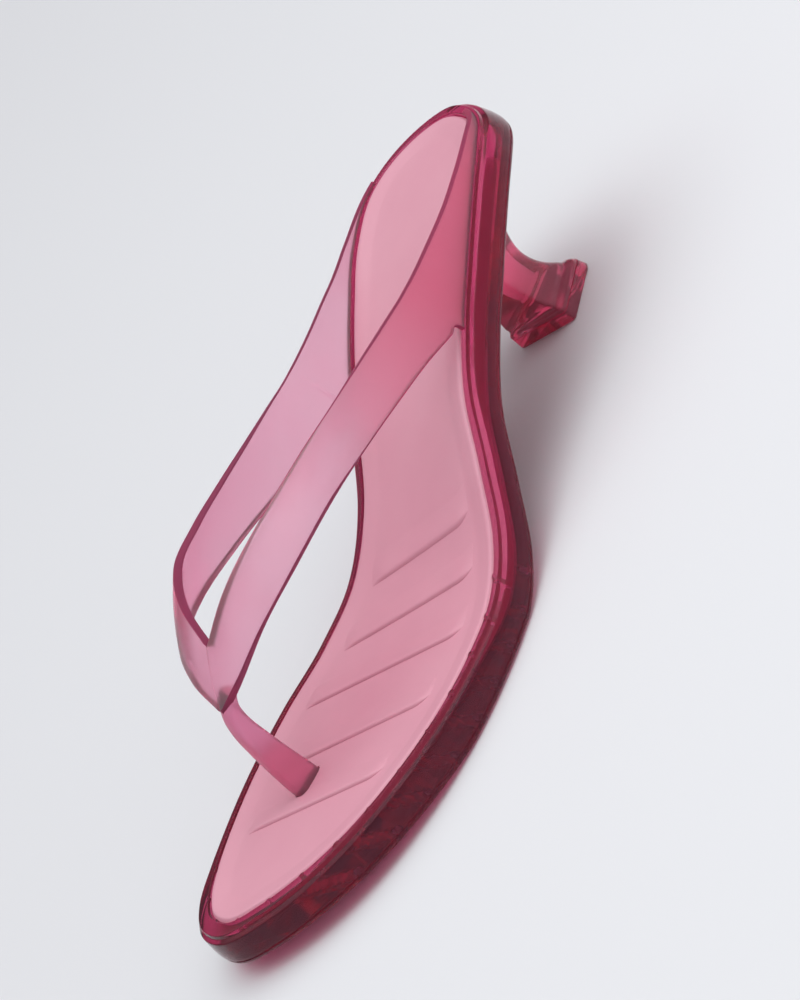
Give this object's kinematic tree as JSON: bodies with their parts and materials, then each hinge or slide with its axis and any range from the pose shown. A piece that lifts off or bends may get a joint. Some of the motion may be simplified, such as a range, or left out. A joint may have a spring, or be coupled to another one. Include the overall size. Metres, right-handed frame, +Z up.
{
  "type": "kitten heel flip-flop",
  "caption": "Left thong sandal moulded in clear pink plastic: tray sole on a low waisted heel, opaque ridged footbed, Y-shaped strap with a toe post.",
  "frame": {"origin": "on the floor under the middle of the shoe's bounding box", "axes": "+X towards the toe, +Y towards the outer (lateral) side of the foot, +Z up"},
  "size_m": [0.2496, 0.096, 0.0654],
  "materials": {
    "sole": "clear tinted moulded plastic, glossy",
    "insole": "opaque moulded footbed with a fine grain",
    "heel": "clear tinted moulded plastic, glossy",
    "top_lift": "clear tinted wear piece",
    "upper": "thin clear tinted strap, glossy"
  },
  "bodies": {
    "root": {"sole": "sole", "insole": "insole", "heel": "heel", "top_lift": "top_lift", "upper": "upper"}
  },
  "joints": []
}
